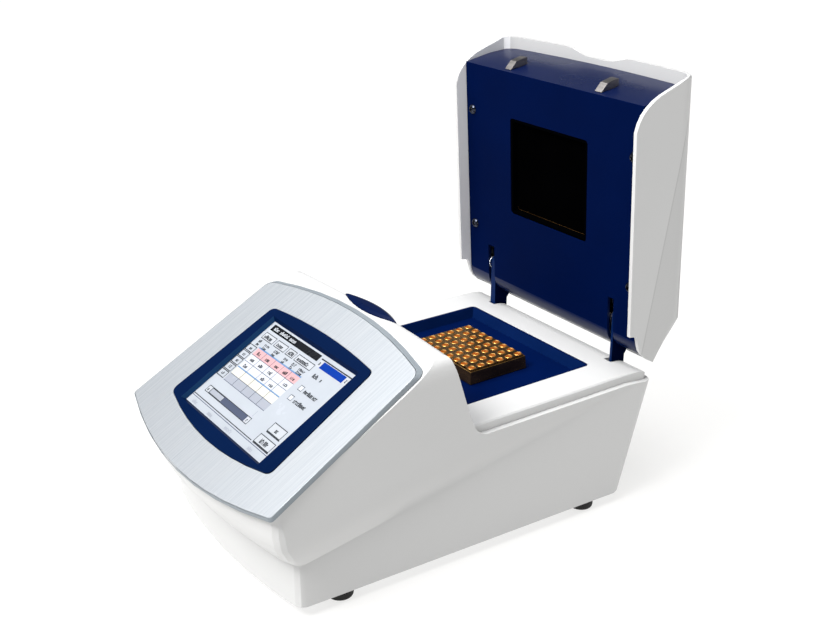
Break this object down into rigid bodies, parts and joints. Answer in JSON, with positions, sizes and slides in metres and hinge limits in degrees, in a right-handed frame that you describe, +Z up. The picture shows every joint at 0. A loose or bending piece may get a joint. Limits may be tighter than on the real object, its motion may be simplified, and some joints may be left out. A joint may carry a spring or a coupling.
{
  "type": "thermal cycler",
  "caption": "Bench-top thermal cycler: hinged heated lid over a metal block of sample wells, tilted touch panel in a white housing.",
  "frame": {"origin": "centre of the bounding box at the floor under the four feet, lid open", "axes": "+X to the right for a user at the touch panel, +Y toward the hinge and rear wall, +Z up"},
  "size_m": [0.2148, 0.3822, 0.3271],
  "materials": {
    "white_plastic": "gloss white moulded plastic",
    "navy_plastic": "satin navy blue",
    "tray_plastic": "satin blue",
    "brushed_aluminium": "brushed along the slope",
    "grey_trim": "satin grey",
    "steel": "bright steel",
    "spring_steel": "spring steel wire and strip",
    "dark_screw": "dark shiny screw",
    "sheet_steel": "zinc plated sheet",
    "heat_sink_aluminium": "extruded aluminium",
    "block_metal": "gold anodised wells in a bronze block",
    "black_plate": "glossy black coated plate",
    "black_plastic": "fine textured black",
    "rubber_foot": "matte black rubber",
    "ceramic": "white ceramic plates",
    "touch_surface": "clear touch sheet",
    "circuit_board": "green solder mask"
  },
  "bodies": {
    "base": {"main_housing": "white_plastic", "hinge_arm_left": "navy_plastic", "hinge_arm_right": "navy_plastic", "screen_bezel": "navy_plastic", "recess_tray": "tray_plastic", "fascia_panel": "brushed_aluminium", "panel_trim": "grey_trim", "stop_pin_left": "steel", "stop_pin_right": "steel", "data_port": "steel", "button_spring": "spring_steel", "latch_spring": "spring_steel", "base_plate": "sheet_steel", "lcd_module": "sheet_steel", "power_supply": "sheet_steel", "heat_sink": "heat_sink_aluminium", "sample_block": "block_metal", "block_frame": "black_plastic", "fan_frame": "black_plastic", "rear_panel": "black_plastic", "power_inlet": "black_plastic", "switch_housing": "black_plastic", "thermal_module_left": "ceramic", "thermal_module_right": "ceramic", "touch_glass": "touch_surface", "controller_board": "circuit_board", "foot_front_left": "rubber_foot", "foot_front_right": "rubber_foot", "foot_rear_left": "rubber_foot", "foot_rear_right": "rubber_foot"},
    "lid": {"lid_cover": "white_plastic", "lid_liner": "navy_plastic", "heater_frame": "black_plastic", "heater_backing": "sheet_steel", "lid_hook_left": "steel", "lid_hook_right": "steel", "hinge_shaft": "steel", "hinge_bracket_left": "sheet_steel", "hinge_bracket_right": "sheet_steel", "plate_spring_1": "spring_steel", "plate_spring_2": "spring_steel", "plate_spring_3": "spring_steel", "plate_spring_4": "spring_steel", "liner_screw_lower_left": "dark_screw", "liner_screw_lower_right": "dark_screw", "liner_screw_upper_left": "dark_screw", "liner_screw_upper_right": "dark_screw"},
    "hot_plate": {"heated_plate": "black_plate"},
    "button": {"release_button": "navy_plastic"},
    "latch": {"latch_slide": "steel", "catch_leaf_left": "spring_steel", "catch_leaf_right": "spring_steel"},
    "fan": {"fan_rotor": "black_plastic"},
    "switch": {"power_switch": "black_plastic"},
    "fuse": {"fuse_drawer": "black_plastic"}
  },
  "joints": [
    {"name": "lid_hinge", "type": "hinge", "parent": "base", "child": "lid", "pos_m": [0, 0.16184, 0.135], "axis": [1, 0, 0], "range_deg": [0, 86.94], "deforming": ["catch_leaf_left", "catch_leaf_right"]},
    {"name": "plate_press", "type": "slide", "parent": "lid", "child": "hot_plate", "axis": [0, 0.9986, 0.0534], "range_m": [0, 0.004], "stiffness_N_per_m": 3000, "springref_m": -0.004, "deforming": ["plate_spring_1", "plate_spring_2", "plate_spring_3", "plate_spring_4"]},
    {"name": "button_press", "type": "slide", "parent": "base", "child": "button", "axis": [0, 0, -1], "range_m": [0, 0.0035], "stiffness_N_per_m": 800, "springref_m": -0.003, "deforming": ["button_spring"]},
    {"name": "latch_travel", "type": "slide", "parent": "base", "child": "latch", "axis": [0, -1, 0], "range_m": [0, 0.0035], "stiffness_N_per_m": 400, "springref_m": -0.003, "deforming": ["latch_spring"]},
    {"name": "fan_spin", "type": "hinge", "parent": "base", "child": "fan", "pos_m": [0, 0.05937, 0.028], "axis": [0, 0, 1], "continuous": true},
    {"name": "power_rocker", "type": "hinge", "parent": "base", "child": "switch", "pos_m": [-0.022, 0.1416, 0.04685], "axis": [1, 0, 0], "range_deg": [0, 18.3]},
    {"name": "fuse_pull", "type": "slide", "parent": "base", "child": "fuse", "axis": [0, 0.9584, -0.2854], "range_m": [0, 0.02]}
  ],
  "couplings": [
    {"joint": "latch_travel", "follows": "button_press", "ratio": 1}
  ]
}
